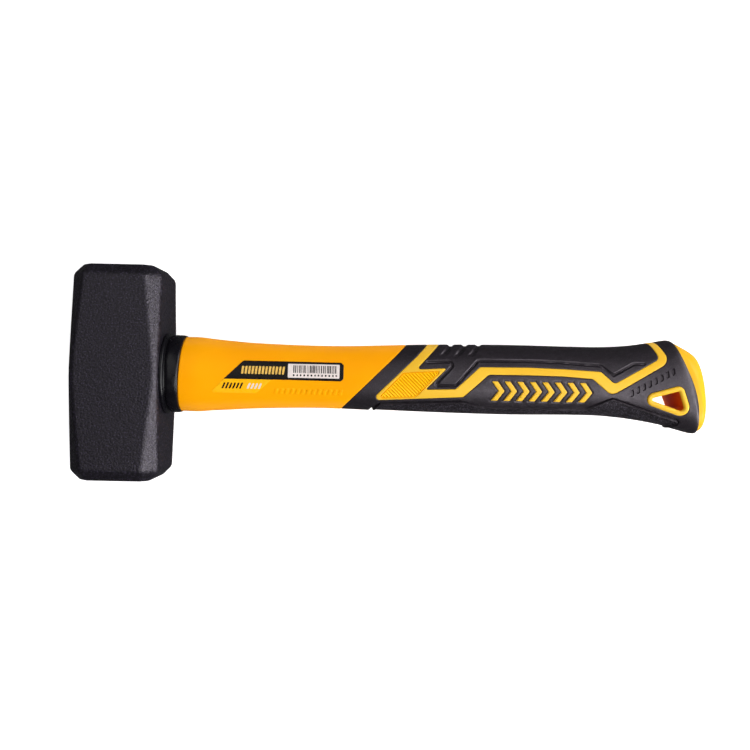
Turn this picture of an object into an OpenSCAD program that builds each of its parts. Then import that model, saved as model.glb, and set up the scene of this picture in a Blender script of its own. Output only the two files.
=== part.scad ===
// Club hammer: a steel head on a fibreglass-core handle with a moulded two-colour grip.
// It lies flat on a cheek. +X runs along the handle from head to butt, +Y is the striking
// axis and +Z is up. The origin is on the rest plane, under the centre of the head.

/* [Head] */
// Width of the head, measured along the handle
head_w = 39.8; // [38:0.1:42]
// Length of the head between its striking faces
head_len = 97; // [92:1:104]
// Thickness of the head from cheek to cheek
head_t = 40; // [38:0.5:42]
// Leg of the four long chamfers at the ends of the head
chamfer_end = 6.2; // [4:0.1:8]
// Leg of the four long chamfers beside the eye
chamfer_mid = 1.2; // [0.6:0.1:3]
// Length of the bevel round each striking face
bevel_len = 4.5; // [3:0.1:6]
// How far that bevel cuts into the cheeks and sides
bevel_in = 4.2; // [3:0.1:5]
// Length of the oval eye along the striking axis
eye_len = 30; // [28:0.5:33]
// Width of the oval eye
eye_w = 21; // [19:0.5:23]

/* [Core] */
// Long side of the oval fibreglass core
core_len = 23; // [20:0.5:24]
// Short side of the oval fibreglass core
core_w = 15; // [13:0.5:16]
// Where the core ends inside the grip
core_end = 205; // [180:5:220]
// How far the core and resin stop short of the far mouth of the eye
eye_recess = 1.4; // [0.5:0.1:3]

/* [Collar] */
// Thickness of the flange that lies against the head
flange_t = 1.7; // [1.2:0.1:3]
// Where the collar ends and the jacket shows
collar_end = 27.8; // [26:0.1:30]

/* [Grip] */
// Thickness of the soft overmould and of the yellow inlay
skin_t = 2.2; // [1.6:0.1:2.6]
// Height of the raised marks over the grip
mark_rise = 0.5; // [0.3:0.1:0.8]
// Thickness of the printed label
label_t = 0.25; // [0.2:0.05:0.4]
// Number of raised chevrons on each side of the grip
chevrons = 8; // [5:1:9]
// Width of the rim round the hanging hole
hole_rim = 2.4; // [1.8:0.1:2.8]

/* [Hidden] */

CORNER_LEAN = 1.28;   // how far the bevels at the corners of a striking face lean to its end
head_face = head_w / 2;
bevel_y = head_len / 2 - bevel_len;
// Long and short sides of the ovals of the flange, the collar and the jacket's end inside it
FLANGE = [37, 35];
COLLAR = [35.8, 33.4];
SPIGOT = [26, 22.5];
through = 60;         // long enough to pass right through the handle
ARC_STEP = 24;        // degrees between the points of a rounded corner

// The handle's sections. Each is [back x, back y, belly x, belly y, half thickness, squareness]:
// the section spans from its back point to its belly point, and squareness 2 is an ellipse.
SECTIONS = [
    [ 28.2,  17.1,  27.4, -17.1, 15.0, 2.1],
    [ 35.0,  17.1,  35.0, -17.2, 14.8, 2.1],
    [ 42.0,  16.4,  42.0, -16.6, 14.2, 2.2],
    [ 50.0,  15.7,  50.0, -16.1, 13.7, 2.2],
    [ 60.0,  15.0,  60.0, -15.4, 13.2, 2.3],
    [ 75.0,  14.5,  75.0, -14.8, 12.7, 2.3],
    [ 90.0,  14.3,  90.0, -14.5, 12.6, 2.4],
    [105.0,  14.5, 105.0, -14.7, 12.8, 2.4],
    [120.0,  15.1, 120.0, -15.1, 13.2, 2.4],
    [140.0,  15.9, 140.0, -15.6, 13.8, 2.4],
    [160.0,  16.3, 160.0, -15.9, 14.0, 2.4],
    [180.0,  16.5, 180.0, -16.0, 14.0, 2.4],
    [205.0,  16.3, 205.0, -15.6, 13.8, 2.4],
    [220.0,  16.4, 221.0, -15.8, 13.7, 2.4],
    [232.0,  17.3, 236.0, -17.3, 13.8, 2.5],
    [243.0,  19.0, 250.0, -19.8, 14.0, 2.5],
    [250.2,  20.1, 262.0, -22.7, 14.0, 2.6],
    [254.8,  17.8, 264.6, -21.8, 13.2, 2.5],
    [260.0,  15.0, 266.5, -19.6, 11.6, 2.4],
    [263.3,  12.2, 267.5, -16.6,  9.2, 2.2],
    [265.8,   6.8, 268.2, -12.5,  5.4, 2.1]
];
LAST = len(SECTIONS) - 1;

// Outline of the orange zone's far edge, from back to belly
FRONT_EDGE = [[130.3, 16], [125, 10], [101, -14.2], [96, -19.2]];

// Edges of the yellow loop as corners [x, y, radius], each from the back, round the belly side and
// up to the back again: its outer edge
LOOP_OUTER = [
    [141.5, 18, 0], [134.5, 10, 0], [114.1, -10.3, 1.5], [155.6, -7.9, 0], [166.8, 2.5, 2.5],
    [200, 2.4, 0], [213.4, 1.5, 2], [222.1, -5.8, 3.8], [248.1, 10, 4.3], [241.9, 22, 0]
];
// and its inner edge, which bounds the pad
LOOP_INNER = [
    [146.7, 18, 0], [134.4, 4.2, 0.8], [148.1, 5, 0.5], [138.6, -4.9, 0.4], [152, -4.4, 0],
    [162.8, 5.8, 2], [200, 5.7, 0], [217, 4.9, 1.6], [223.2, -0.5, 1.8], [243.5, 11.2, 2.2],
    [238.8, 22, 0]
];

// Edge of the yellow butt cap, from back to belly
CAP_EDGE = [[250.6, 22], [255, 10.4], [259.4, 0], [261, -5], [262, -10], [263.4, -24]];

// Corners of the hanging hole as [x, y, outer radius], and how far its liner stands from mid-plane
HOLE_CORNERS = [[241.2, -7.1, 3.1], [251.6, -4.1, 3.1], [253.1, -10.4, 3.8]];
HOLE_TOP = 14.4;

// Outline of the printed label
LABEL = [[43.4, -8], [62.6, -8], [69.6, -1.7], [100.6, -1.9], [101.8, -0.8], [101.8, 5.4],
         [100.6, 6.5], [56.8, 6.6], [48.4, -1.6], [42.9, -7.2]];

// The row of raised chevrons: where it starts, its length, its height and the reach of a point
MARK_AT = [168.2, -4.7];
MARK_ROW = 45;
MARK_H = 8.6;
MARK_POINT = 3.1;
mark_pitch = MARK_ROW / chevrons;
mark_stroke = mark_pitch * 0.46;

function spline(a, b, c, d, t) =
    0.5 * (2 * b + (c - a) * t + (2 * a - 5 * b + 4 * c - d) * t * t
           + (3 * b - a - 3 * c + d) * t * t * t);

// The section at s, where whole numbers are entries of SECTIONS
function section(s) =
    let (i = min(floor(s), LAST - 1))
    spline(SECTIONS[max(i - 1, 0)], SECTIONS[i], SECTIONS[i + 1], SECTIONS[min(i + 2, LAST)], s - i);

function power(v, n) = sign(v) * pow(abs(v), 2 / n);

// One point of a section, inset below the surface
function on_section(q, a, inset) =
    let (back = [q[0], q[1], 0], belly = [q[2], q[3], 0],
         half = norm(back - belly) / 2,
         u = power(cos(a), q[5]) * (half - inset) / half,
         v = power(sin(a), q[5]) * (q[4] - inset))
    (back + belly) / 2 + (back - belly) / 2 * u + [0, 0, v];

function turned(v, angle) =
    [v[0] * cos(angle) - v[1] * sin(angle), v[0] * sin(angle) + v[1] * cos(angle)];

// The arc that rounds a corner, where before and after lead to the neighbouring corners
function arc(here, before, after, radius) =
    let (b = before / norm(before),
         a = after / norm(after),
         half = acos(b * a) / 2,
         reach = min(radius / tan(half), 0.45 * norm(before), 0.45 * norm(after)),
         centre = here + (a + b) / norm(a + b) * reach / cos(half),
         start = here + b * reach - centre,
         end = here + a * reach - centre,
         turn = atan2(start[0] * end[1] - start[1] * end[0], start * end),
         steps = max(2, floor(abs(turn) / ARC_STEP)))
    [for (k = [0 : steps]) centre + turned(start, turn * k / steps)];

function flat(corner) = [corner[0], corner[1]];

// The corners [x, y, radius] as a line of points
function rounded(corners) = [
    for (i = [0 : len(corners) - 1])
        let (here = flat(corners[i]), radius = corners[i][2])
        each (radius == 0
            ? [here]
            : arc(here, flat(corners[i - 1]) - here, flat(corners[i + 1]) - here, radius))
];

function reversed(list) = [for (i = [len(list) - 1 : -1 : 0]) list[i]];

// The whole handle inside its surface moved in by inset, as one closed loft
module whole(inset = 0, rings = 44, sides = 24) {
    points = [for (i = [0 : rings]) for (j = [0 : sides - 1])
        on_section(section(LAST * i / rings), 360 * j / sides, inset)];
    walls = [for (i = [0 : rings - 1]) for (j = [0 : sides - 1])
        let (k = (j + 1) % sides)
        [i * sides + j, (i + 1) * sides + j, (i + 1) * sides + k, i * sides + k]];
    near_end = [for (j = [0 : sides - 1]) j];
    far_end = [for (j = [sides - 1 : -1 : 0]) rings * sides + j];
    polyhedron(points, concat(walls, [near_end, far_end]), convexity = 8);
}

// A prism through the whole handle
module through_prism(points) {
    translate([0, 0, -through / 2]) linear_extrude(through) polygon(points);
}

module oval(length, width) {
    for (side = [-1, 1]) translate([side * (length - width) / 2, 0]) circle(d = width, $fn = 64);
    square([length - width, width], center = true);
}

// An oval bar along the handle, its long side on the striking axis
module oval_bar(x0, x1, length, width) {
    translate([x0, 0, 0]) rotate([90, 0, 90]) linear_extrude(x1 - x0) oval(length, width);
}

// Everything beyond a plane that has this normal and passes through the point
module beyond(normal, point) {
    far = 120;
    unit = normal / norm(normal);
    rotate([0, acos(unit[2]), atan2(unit[1], unit[0])])
        translate([-far / 2, -far / 2, unit * point]) cube([far, far, far / 2]);
}

module front_zone() {
    through_prism(concat(FRONT_EDGE, [[96, -25], [10, -25], [10, 25], [130.3, 25]]));
}

module collar_zone() {
    translate([0, -through / 2, -through / 2]) cube([collar_end, through, through]);
}

module loop_zone() {
    through_prism(concat(rounded(LOOP_OUTER), reversed(rounded(LOOP_INNER))));
}

module pad_zone() {
    through_prism(concat(rounded(LOOP_INNER), [[238.8, 30], [146.7, 30]]));
}

module cap_zone() {
    through_prism(concat(CAP_EDGE, [[280, -24], [280, 22]]));
}

module hole_outline(rim) {
    hull() for (c = HOLE_CORNERS) translate([c[0], c[1]]) circle(r = c[2] - rim, $fn = 24);
}

module hole_prism(rim, height = through) {
    translate([0, 0, -height / 2]) linear_extrude(height) hole_outline(rim);
}

module chevron_row() {
    translate([MARK_AT[0], MARK_AT[1], -through / 2]) linear_extrude(through)
        for (i = [0 : chevrons - 1])
            translate([i * mark_pitch, 0]) polygon([
                [0, -MARK_H / 2], [mark_stroke, -MARK_H / 2], [mark_stroke + MARK_POINT, 0],
                [mark_stroke, MARK_H / 2], [0, MARK_H / 2], [MARK_POINT, 0]
            ]);
}

module upper_half() {
    translate([0, -through / 2, 0]) cube([CAP_EDGE[0][0], through, through]);
}

// This changes no size. It has the children built as one mesh, so that the handle's pieces meet on
// the same facets.
module meshed() {
    resize([0, 0, 0]) children();
}

module shell_between(outer_inset, inner_inset) {
    difference() {
        whole(outer_inset);
        whole(inner_inset);
    }
}

module hammer_head() {
    cheek = head_t / 2;
    slope = (chamfer_end - chamfer_mid) / bevel_y;
    color([0.13, 0.13, 0.16]) difference() {
        cube([head_w, head_len, head_t], center = true);
        for (y = [-1, 1]) {
            for (x = [-1, 1], z = [-1, 1]) {
                beyond([x, y * slope, z], [x * (head_face - chamfer_mid), 0, z * cheek]);
                beyond([x, y * CORNER_LEAN, z],
                       [x * (head_face - chamfer_end), y * bevel_y, z * cheek]);
            }
            for (z = [-1, 1])
                beyond([0, y * bevel_in, z * bevel_len], [0, y * bevel_y, z * cheek]);
            for (x = [-1, 1])
                beyond([x * bevel_len, y * bevel_in, 0], [x * head_face, y * bevel_y, 0]);
        }
        oval_bar(-head_w, head_w, eye_len, eye_w);
    }
}

module eye_epoxy() {
    color([0.55, 0.45, 0.2]) difference() {
        oval_bar(-head_face + eye_recess, head_face, eye_len, eye_w);
        oval_bar(-head_w, head_w, core_len, core_w);
    }
}

module core_rod() {
    color([0.85, 0.8, 0.6]) oval_bar(-head_face + eye_recess, core_end, core_len, core_w);
}

module collar() {
    color([0.06, 0.06, 0.07]) difference() {
        union() {
            oval_bar(head_face, head_face + flange_t, FLANGE[0], FLANGE[1]);
            oval_bar(head_face + flange_t, collar_end, COLLAR[0], COLLAR[1]);
        }
        oval_bar(head_face - 1, collar_end + 1, SPIGOT[0], SPIGOT[1]);
    }
}

module handle_jacket() {
    color([1, 0.62, 0.05]) meshed() difference() {
        union() {
            oval_bar(head_face, SECTIONS[1][0], SPIGOT[0], SPIGOT[1]);
            difference() {
                whole(skin_t);
                cap_zone();
                collar_zone();
            }
            difference() {
                intersection() {
                    whole();
                    front_zone();
                }
                collar_zone();
            }
        }
        oval_bar(0, core_end, core_len, core_w);
        hole_prism(0);
    }
}

module grip_body() {
    color([0.17, 0.16, 0.19]) meshed() difference() {
        shell_between(0, skin_t);
        front_zone();
        loop_zone();
        pad_zone();
        cap_zone();
        hole_prism(0);
        chevron_row();
    }
}

module grip_back_pad() {
    color([0.15, 0.14, 0.17]) meshed() intersection() {
        shell_between(0, skin_t);
        pad_zone();
    }
}

module accent_loop() {
    color([1, 0.78, 0.2]) meshed() intersection() {
        shell_between(0, skin_t);
        loop_zone();
    }
}

module hang_hole_liner() {
    color([1, 0.78, 0.2]) difference() {
        hole_prism(0, 2 * HOLE_TOP);
        hole_prism(hole_rim);
    }
}

module end_cap() {
    color([1, 0.74, 0.12]) meshed() intersection() {
        whole();
        cap_zone();
    }
}

module product_label() {
    color([0.1, 0.09, 0.08]) meshed() intersection() {
        shell_between(-label_t, 0);
        through_prism(LABEL);
        upper_half();
    }
}

module side_marks(flip) {
    color([1, 0.85, 0.35]) meshed() intersection() {
        shell_between(-mark_rise, skin_t);
        chevron_row();
        mirror([0, 0, flip]) upper_half();
    }
}

module side_marks_front() {
    side_marks(0);
}

module side_marks_back() {
    side_marks(1);
}

translate([0, 0, head_t / 2]) {
    hammer_head();
    eye_epoxy();
    core_rod();
    collar();
    handle_jacket();
    grip_body();
    grip_back_pad();
    accent_loop();
    hang_hole_liner();
    end_cap();
    product_label();
    side_marks_front();
    side_marks_back();
}
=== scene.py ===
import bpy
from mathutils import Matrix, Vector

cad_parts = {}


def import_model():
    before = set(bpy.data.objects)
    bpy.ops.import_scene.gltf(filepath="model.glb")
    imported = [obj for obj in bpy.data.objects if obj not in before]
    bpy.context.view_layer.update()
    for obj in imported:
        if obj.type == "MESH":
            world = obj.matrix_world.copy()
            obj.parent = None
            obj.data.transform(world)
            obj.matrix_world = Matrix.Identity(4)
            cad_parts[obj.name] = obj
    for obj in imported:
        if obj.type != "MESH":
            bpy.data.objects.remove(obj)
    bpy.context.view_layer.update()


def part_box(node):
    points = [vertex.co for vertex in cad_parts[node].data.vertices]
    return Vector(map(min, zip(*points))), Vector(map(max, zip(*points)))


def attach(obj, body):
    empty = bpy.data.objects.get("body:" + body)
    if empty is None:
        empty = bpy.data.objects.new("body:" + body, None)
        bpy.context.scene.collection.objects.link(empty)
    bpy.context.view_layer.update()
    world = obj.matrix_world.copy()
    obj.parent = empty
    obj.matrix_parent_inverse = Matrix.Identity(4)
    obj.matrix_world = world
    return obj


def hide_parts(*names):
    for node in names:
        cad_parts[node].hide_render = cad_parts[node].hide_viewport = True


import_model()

import math

import bmesh
import bpy
import numpy as np
from mathutils import Vector

# Shapes are worked out in millimetres about the handle's mid-plane, with the same directions as
# the frame: x from the eye to the butt, y along the striking axis, z up.
head_low, head_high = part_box("hammer_head")
MID_Z = 500 * (head_low[2] + head_high[2])
HEAD = [500 * (high - low) for low, high in zip(head_low, head_high)]   # half width, length, thickness

# ---- outlines ----

# Each section of the handle is [back x, back y, belly x, belly y, half thickness, squareness]:
# it spans from its back point to its belly point, and squareness 2 is an ellipse.
SECTIONS = np.array([
    [28.2, 17.1, 27.4, -17.1, 15, 2.1],
    [35, 17.1, 35, -17.2, 14.8, 2.1],
    [42, 16.4, 42, -16.6, 14.2, 2.2],
    [50, 15.7, 50, -16.1, 13.7, 2.2],
    [60, 15, 60, -15.4, 13.2, 2.3],
    [75, 14.5, 75, -14.8, 12.7, 2.3],
    [90, 14.3, 90, -14.5, 12.6, 2.4],
    [105, 14.5, 105, -14.7, 12.8, 2.4],
    [120, 15.1, 120, -15.1, 13.2, 2.4],
    [140, 15.9, 140, -15.6, 13.8, 2.4],
    [160, 16.3, 160, -15.9, 14, 2.4],
    [180, 16.5, 180, -16, 14, 2.4],
    [205, 16.3, 205, -15.6, 13.8, 2.4],
    [220, 16.4, 221, -15.8, 13.7, 2.4],
    [232, 17.3, 236, -17.3, 13.8, 2.5],
    [243, 19, 250, -19.8, 14, 2.5],
    [250.2, 20.1, 262, -22.7, 14, 2.6],
    [254.8, 17.8, 264.6, -21.8, 13.2, 2.5],
    [260, 15, 266.5, -19.6, 11.6, 2.4],
    [263.3, 12.2, 267.5, -16.6, 9.2, 2.2],
    [265.8, 6.8, 268.2, -12.5, 5.4, 2.1],
])
LAST = len(SECTIONS) - 1

# Outlines of the side view, with corners as [x, y, radius]: the front edge of the grip, the two edges
# of the yellow loop, the edge of the butt cap, the channel round the grained part of the belly, the
# groove in the back pad, the loop's ridged panel and the printed label
FRONT_EDGE = [(130.3, 16, 0), (125, 10, 20), (101, -14.2, 20), (96, -19.2, 0)]
LOOP_OUTER = [
    (141.5, 18, 0), (134.5, 10, 12), (114.1, -10.3, 1.55), (155.6, -7.9, 0.8), (166.8, 2.5, 2.5),
    (185, 2.6, 60), (200, 2.4, 60), (213.4, 1.5, 2), (222.1, -5.8, 3.8), (248.1, 10, 4.3), (241.9, 22, 0),
]
LOOP_INNER = [
    (146.7, 18, 0), (134.4, 4.2, 0.8), (148.1, 5, 0.5), (138.6, -4.9, 0.4), (152, -4.4, 0.8),
    (162.8, 5.8, 2), (185, 6.1, 60), (200, 5.7, 60), (217, 4.85, 1.6), (223.2, -0.55, 1.8),
    (243.5, 11.2, 2.2), (238.8, 22, 0),
]
CAP_EDGE = [
    (250.6, 22, 0), (252.2, 17.6, 40), (255, 10.4, 40), (257.3, 5, 40), (259.4, 0, 40), (261, -5, 40),
    (262, -10, 40), (262.8, -16, 40), (263.4, -24, 0),
]
BELLY_EDGE = [
    (112.6, -30, 0), (114.2, -15.4, 1), (118.2, -11.7, 2), (155, -9.9, 3), (165.5, -12.1, 3),
    (211.5, -12.1, 4), (222.6, -7.1, 2.5), (254.8, -17.3, 1.2), (248.5, -21.8, 2), (246, -30, 0),
]
PAD_GROOVE = [
    (139.4, 7.6, 0), (152.6, 8.1, 1.6), (142.4, -3, 0.8), (152.1, -2.8, 1), (162, 8.7, 1.6), (185, 9, 60),
    (200, 8.6, 60), (217, 7.6, 2), (222.6, 3.3, 0.6), (231.8, 8.6, 1.5), (236.5, 8.7, 0),
]
ARROW_PANEL = [
    (128.7, 2.4, 0.5), (145.2, 3.6, 0.5), (134.4, -8.2, 2.5), (117.6, -9.2, 0.8),
]
LABEL = [
    (43.4, -8, 0.4), (62.6, -8, 1.6), (69.6, -1.7, 1), (100.6, -1.9, 1), (101.8, -0.8, 0.5),
    (101.8, 5.4, 0.8), (100.6, 6.5, 0.4), (56.8, 6.6, 1.2), (48.4, -1.6, 4), (42.9, -7.2, 0.4),
]
HOLE_CORNERS = [(241.2, -7.1, 3.1), (251.6, -4.1, 3.1), (253.1, -10.4, 3.8)]  # centres x, y and radius
HOLE_DRAFT = 0.55   # how much the hole narrows on each side, from a face to mid-plane
# The profile of its rim, as how far in from the outline and how far above the grip each point is
HOLE_PROFILE = [
    (0.0, -1.6), (0.0, -0.5), (0.03, 0.05), (0.3, 0.36), (0.8, 0.5), (1.4, 0.48), (1.9, 0.3), (2.2, 0.0),
    (2.36, -0.5), (2.4, -1.0), (2.4, -1.6), (2.45, -4.0), (2.5, -8.0), (2.5, -12.5),
]
HOLE_WALL = 8       # the point of the profile where the painted shade of the hole's wall, a deeper orange, begins

JOINT_X = 28.0      # the joint between collar and jacket on the centre line
JOINT_TILT = 0.05   # and how far it leans along x for each millimetre of y
MARKS = 8           # raised chevrons on each side of the grip
MARK_AT = (168.2, -4.7)  # where the ends of the first one start in x, and the row's middle in y
MARK_PITCH = 45 / 8
MARK_STROKE = MARK_PITCH * 0.46
MARK_H = 8.6
MARK_POINT = 3.1    # how far a chevron's point stands ahead of its ends
NOTCHES = np.array([150.6, 157.0, 163.2])  # the finger notches across the back of the grip, in x
NOTCH_AT = 16.2     # at this y,
NOTCH_LEAN = 0.82   # and how far they lean along x for each millimetre of y
NOTCH_HALF = 1.25   # half the width of a notch
RIDGE_PITCH = 1.65  # of the arrow panel's ridges, measured as x + y
OVAL_SQUARENESS = 2.3  # of the collar's section, where 2 is an ellipse
SKIN_T = 2.2        # thickness of the jacket, the grip and the inlay
EDGE_CUTS = (0.12, 0.28, 0.5)  # distances from a skin's edge at which cuts make room for its rounding
FAR = 40            # well beyond the handle's back and belly
TURN = np.linspace(0, 2 * np.pi, 96, endpoint=False)  # the angles of the points of a ring

# The label's yellow lower part and pale panel, as x from and to and y from and to
LABEL_LOWER = (0, 69.6, -FAR, -1.75)
LABEL_PANEL = (76.8, 100.0, -0.7, 5.5)
BARS_X = (79.2, 98.6)  # from and to of the upright bars on the panel
BARS_Y = (1.5, 4.9)
BAR_STEPS = [0.22, 0.34, 0.5]  # the widths of the bars and the gaps between them


def rounded(corners, step=12):
    """The corners [x, y, radius] as a line of points, with an arc of that radius at each corner."""
    points = []
    for i, (x, y, radius) in enumerate(corners):
        here = np.array([x, y])
        if radius == 0:
            points.append(here)
            continue
        before = np.array(corners[i - 1][:2]) - here
        after = np.array(corners[(i + 1) % len(corners)][:2]) - here
        room = 0.45 * min(np.linalg.norm(before), np.linalg.norm(after))
        before = before / np.linalg.norm(before)
        after = after / np.linalg.norm(after)
        half = math.acos(np.clip(before @ after, -1, 1)) / 2
        reach = min(radius / math.tan(half), room)
        centre = here + (before + after) / np.linalg.norm(before + after) * reach / math.cos(half)
        start = here + before * reach - centre
        end = here + after * reach - centre
        turn = math.atan2(start[0] * end[1] - start[1] * end[0], start @ end)
        count = max(2, int(abs(math.degrees(turn)) / step) + 1)
        for k in range(count + 1):
            angle = turn * k / count
            cos, sin = math.cos(angle), math.sin(angle)
            points.append(centre + [start[0] * cos - start[1] * sin, start[0] * sin + start[1] * cos])
    return np.array(points)


def hole_outline(inset):
    """Points round the hanging hole: the hull of its three corner circles, moved in by inset."""
    out = np.stack([np.cos(TURN), np.sin(TURN)], 1)
    corners = np.array(HOLE_CORNERS)
    which = np.argmax(out @ corners[:, :2].T + corners[:, 2], axis=1)
    return corners[which, :2] + out * (corners[which, 2:] - inset)


def line_distance(p, line):
    """Distance of each point from a line of points, in the xy plane."""
    best = np.full(len(p), np.inf)
    for a, b in zip(line[:-1], line[1:]):
        along = b - a
        t = np.clip((p - a) @ along / max(along @ along, 1e-12), 0, 1)
        best = np.minimum(best, np.hypot(*(p - a - t[:, None] * along).T))
    return best


def inside(p, outline):
    """Distance of each point from a closed outline, positive inside it."""
    odd = np.zeros(len(p), bool)
    for a, b in zip(outline, np.roll(outline, -1, 0)):
        if a[1] != b[1]:
            spans = (a[1] > p[:, 1]) != (b[1] > p[:, 1])
            odd ^= spans & (p[:, 0] < (b[0] - a[0]) * (p[:, 1] - a[1]) / (b[1] - a[1]) + a[0])
    distance = line_distance(p, np.vstack([outline, outline[:1]]))
    return np.where(odd, distance, -distance)


def region(outline):
    """A field: a function that gives each point's distance inside the outline."""
    return lambda p: inside(p[:, :2], np.array(outline))


def closed_by(edge, *corners):
    """An edge made into a closed outline by corners that lie beyond the handle."""
    return np.vstack([rounded(edge), corners])


def rectangle(x_from, x_to, y_from, y_to):
    """The field of an upright rectangle."""
    low, high = np.array([x_from, y_from]), np.array([x_to, y_to])
    return lambda p: np.minimum(p[:, :2] - low, high - p[:, :2]).min(axis=1)


in_front = region(closed_by(FRONT_EDGE, (96, -FAR), (10, -FAR), (10, FAR), (130.3, FAR)))
in_loop_outer = region(closed_by(LOOP_OUTER, (241.9, FAR), (141.5, FAR)))
in_pad = region(closed_by(LOOP_INNER, (238.8, FAR), (146.7, FAR)))
in_cap = region(closed_by(CAP_EDGE, (263.4, -FAR), (300, -FAR), (300, FAR), (250.6, FAR)))
in_belly = region(rounded(BELLY_EDGE))
in_panel = region(rounded(ARROW_PANEL))
in_label = region(rounded(LABEL))
in_hole = region(hole_outline(0))


def past_joint(p):
    return p[:, 0] - JOINT_X - JOINT_TILT * p[:, 1]


def groove_line(p):
    return line_distance(p[:, :2], rounded(PAD_GROOVE))


def belly_notch(p):
    return line_distance(p[:, :2], np.array([[114.6, -14.6], [113.6, -22]]))


def chevron_row(p):
    """Distance inside the nearest of the raised chevrons."""
    across = np.abs(p[:, 1] - MARK_AT[1])
    along = p[:, 0] - MARK_AT[0] - MARK_POINT * (1 - across * 2 / MARK_H)
    index = np.clip(np.floor((along + (MARK_PITCH - MARK_STROKE) / 2) / MARK_PITCH), 0, MARKS - 1)
    along = along - index * MARK_PITCH
    lean = math.cos(math.atan(MARK_POINT * 2 / MARK_H))
    return np.minimum(np.minimum(along, MARK_STROKE - along) * lean, MARK_H / 2 - across)


def dashes(start, end, count, half_width, half_height, slant=0.0):
    """Distance inside the nearest of a row of slanting dashes that runs from start to end."""
    start, end = np.array(start), np.array(end)
    length = np.linalg.norm(end - start)
    direction = (end - start) / length
    pitch = length / (count - 1)

    def field(p):
        offset = p[:, :2] - start
        across = offset[:, 1] * direction[0] - offset[:, 0] * direction[1]
        along = offset @ direction - slant * across
        along = along - np.clip(np.round(along / pitch), 0, count - 1) * pitch
        return np.minimum(half_width - np.abs(along), half_height - np.abs(across))
    return field


# A row of plain slanting dashes pressed into the grip beside the hanging hole
pressed_dashes = dashes((231.2, -4.5), (249.4, 5.5), 8, 0.75, 1.3, 0.4)
# and a faint row that stands out on the belly side of the jacket
raised_dashes = dashes((71.5, -6.9), (100.5, -6.9), 13, 0.7, 1.25, 0.35)


def finger_notches(p):
    """Distance inside the nearest of the notches across the back of the grip."""
    lean = p[:, 0] - NOTCH_LEAN * (p[:, 1] - NOTCH_AT)
    nearest = np.min(np.abs(lean[:, None] - NOTCHES), axis=1)
    return NOTCH_HALF - nearest * math.cos(math.atan(NOTCH_LEAN))


# ---- the handle's surface ----
# A point of it is (s, u, v): s is the place along SECTIONS, and (u, v) is a unit vector that turns
# round the section from its back point. A shorter vector lies on the flat end of the butt.

BUTT_BULGE = 0.7    # how far the flat end stands out at its middle
BUTT_FACING = [0.98, 0.19, 0]  # the way it faces
BUTT_RINGS = (0.93, 0.8, 0.6, 0.4, 0.2)  # its rings of mesh cells, as shares of its size
CELL = 0.62         # length of the surface's mesh cells along the handle
SIDES = 168         # and how many go round it
SNAP = 0.06         # a cut that passes this near to a corner of a triangle goes through it
MARGIN = 10         # sections lean, so a patch starts and ends this much beyond its limits


def section(s):
    """The section at each place along SECTIONS, by a spline that passes through all of them."""
    i = np.clip(np.floor(s).astype(int), 0, LAST - 1)
    t = (s - i)[:, None]
    a, b, c, d = (SECTIONS[np.clip(i + k, 0, LAST)] for k in (-1, 0, 1, 2))
    square, cube = 2 * a - 5 * b + 4 * c - d, 3 * b - a - 3 * c + d
    return 0.5 * (2 * b + (c - a) * t + square * t ** 2 + cube * t ** 3)


def surface(place, inset=0.0):
    """The point at each place (s, u, v) of the handle's surface, or of one that lies inset in it."""
    q = section(place[:, 0])
    reach = np.maximum(np.hypot(place[:, 1], place[:, 2]), 1e-9)
    u, v = place[:, 1] / reach, place[:, 2] / reach
    power = 2 / q[:, 5]
    span = np.hypot(q[:, 0] - q[:, 2], q[:, 1] - q[:, 3]) / 2
    across = np.sign(u) * np.abs(u) ** power * (span - inset) / span * reach
    centre = (q[:, 0:2] + q[:, 2:4]) / 2
    flat = centre + (q[:, 0:2] - q[:, 2:4]) / 2 * across[:, None]
    flat[:, 0] += BUTT_BULGE * (1 - np.minimum(reach, 1) ** 2)
    height = np.sign(v) * np.abs(v) ** power * (q[:, 4] - inset) * reach
    return np.column_stack([flat, height])


def outward(place):
    """The unit normal of the handle's surface at each place."""
    q = section(place[:, 0])
    p = surface(place)
    span = np.hypot(q[:, 0] - q[:, 2], q[:, 1] - q[:, 3]) / 2
    side = np.column_stack([(q[:, 0:2] - q[:, 2:4]) / 2 / span[:, None], np.zeros(len(q))])
    centre = np.column_stack([(q[:, 0:2] + q[:, 2:4]) / 2, np.zeros(len(q))])
    u = np.einsum("ij,ij->i", p - centre, side) / span
    v = p[:, 2] / q[:, 4]
    power = q[:, 5] - 1
    steep = side * (np.sign(u) * np.abs(u) ** power / span)[:, None]
    steep[:, 2] += np.sign(v) * np.abs(v) ** power / q[:, 4]
    behind, ahead = place.copy(), place.copy()
    behind[:, 0] -= 0.02
    ahead[:, 0] = np.minimum(ahead[:, 0] + 0.02, LAST)
    axis = np.cross(side, [0, 0, 1])
    normal = np.cross(np.cross(axis, steep), surface(ahead) - surface(behind))
    normal *= np.sign(np.einsum("ij,ij->i", normal, steep))[:, None]
    normal /= np.linalg.norm(normal, axis=1)[:, None]
    normal[np.hypot(place[:, 1], place[:, 2]) < 0.99] = BUTT_FACING
    return normal


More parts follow.
